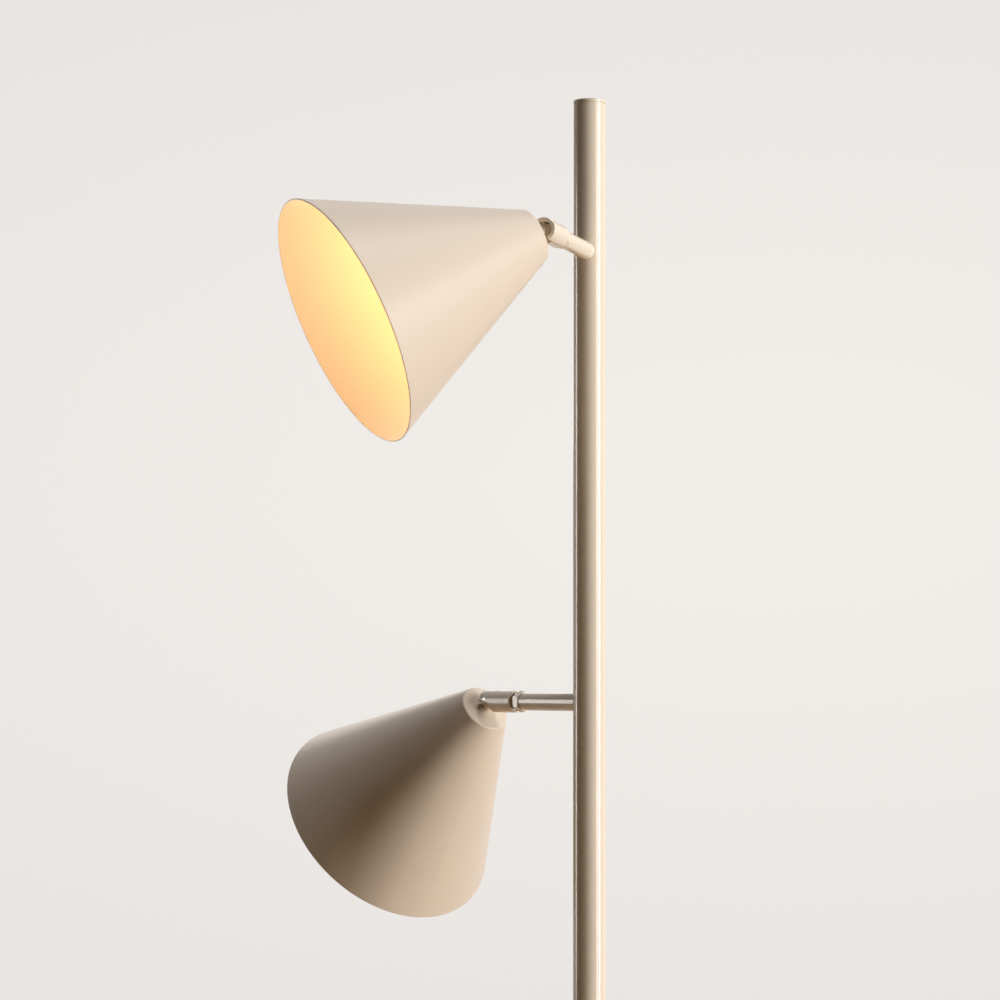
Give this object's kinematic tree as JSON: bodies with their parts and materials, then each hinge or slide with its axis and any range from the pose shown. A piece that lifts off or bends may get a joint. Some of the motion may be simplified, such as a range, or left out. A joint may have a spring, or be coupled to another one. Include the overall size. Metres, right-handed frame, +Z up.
{
  "type": "floor lamp",
  "caption": "Free-standing pole lamp: a round weighted base, a thin jointed pole and short arms that each carry a cone shade on a swivelling, tilting knuckle.",
  "frame": {"origin": "centre of the pad's underside, on the pole's axis at floor level", "axes": "+Z up along the pole, +X to the right of someone in front of the lamp, +Y towards the back, where the lead inlet is"},
  "size_m": [0.335, 0.437, 1.5],
  "materials": {
    "shade_paint": "satin",
    "pole_paint": "gloss",
    "iron": "matte",
    "zinc": "satin",
    "dull_steel": "satin",
    "brass": "satin",
    "bulb_metal": "satin",
    "pad": "matte",
    "black_plastic": "matte",
    "pad_plastic": "satin",
    "white_plastic": "satin",
    "frosted": "satin",
    "lead_sheath": "satin"
  },
  "bodies": {
    "stand": {"base_pad": "pad", "base_weight": "iron", "base_cover": "shade_paint", "base_washer": "zinc", "base_nut": "brass", "base_nipple": "brass", "inlet_bush": "black_plastic", "terminal_block": "white_plastic", "pole_foot_plug": "zinc", "pole_lower": "pole_paint", "pole_socket": "zinc", "pole_stud": "zinc", "pole_upper": "pole_paint", "pole_cap": "pole_paint", "upper_arm": "pole_paint", "upper_arm_insert": "dull_steel", "upper_nipple": "brass", "upper_locknut": "pole_paint", "upper_lead": "lead_sheath", "lower_arm": "pole_paint", "lower_arm_insert": "dull_steel", "lower_nipple": "brass", "lower_locknut": "pole_paint", "lower_lead": "lead_sheath"},
    "upper_turning_knuckle": {"upper_knuckle": "pole_paint", "upper_friction_washer": "black_plastic", "upper_pivot_pins": "zinc", "upper_pressure_pad": "pad_plastic", "upper_disc_spring": "dull_steel"},
    "upper_head": {"upper_stem": "pole_paint", "upper_shade": "shade_paint", "upper_lock_washer": "zinc", "upper_stem_nut": "brass", "upper_holder_cap": "white_plastic", "upper_holder_shell": "white_plastic", "upper_holder_insert": "white_plastic", "upper_screw_sleeve": "brass", "upper_contact": "brass", "upper_bulb_cap": "bulb_metal", "upper_bulb_body": "white_plastic", "upper_bulb_globe": "frosted"},
    "lower_turning_knuckle": {"lower_knuckle": "pole_paint", "lower_friction_washer": "black_plastic", "lower_pivot_pins": "zinc", "lower_pressure_pad": "pad_plastic", "lower_disc_spring": "dull_steel"},
    "lower_head": {"lower_stem": "pole_paint", "lower_shade": "shade_paint", "lower_lock_washer": "zinc", "lower_stem_nut": "brass", "lower_holder_cap": "white_plastic", "lower_holder_shell": "white_plastic", "lower_holder_insert": "white_plastic", "lower_screw_sleeve": "brass", "lower_contact": "brass", "lower_bulb_cap": "bulb_metal", "lower_bulb_body": "white_plastic", "lower_bulb_globe": "frosted"}
  },
  "joints": [
    {"name": "upper_swivel", "type": "hinge", "parent": "stand", "child": "upper_turning_knuckle", "pos_m": [-0.0197, -0.07102, 1.406], "axis": [-0.2672, -0.9636, 0], "range_deg": [-105.5, 224.5]},
    {"name": "upper_tilt", "type": "hinge", "parent": "upper_turning_knuckle", "child": "upper_head", "pos_m": [-0.02575, -0.09674, 1.40661], "axis": [0.4891, -0.1356, -0.8616], "range_deg": [-57.5, 32.5]},
    {"name": "lower_swivel", "type": "hinge", "parent": "stand", "child": "lower_turning_knuckle", "pos_m": [-0.04435, 0.05886, 1.1305], "axis": [-0.6018, 0.7986, 0], "range_deg": [-168, 162]},
    {"name": "lower_tilt", "type": "hinge", "parent": "lower_turning_knuckle", "child": "lower_head", "pos_m": [-0.06019, 0.07998, 1.1317], "axis": [-0.7975, -0.601, 0.0523], "range_deg": [-36, 54]}
  ]
}
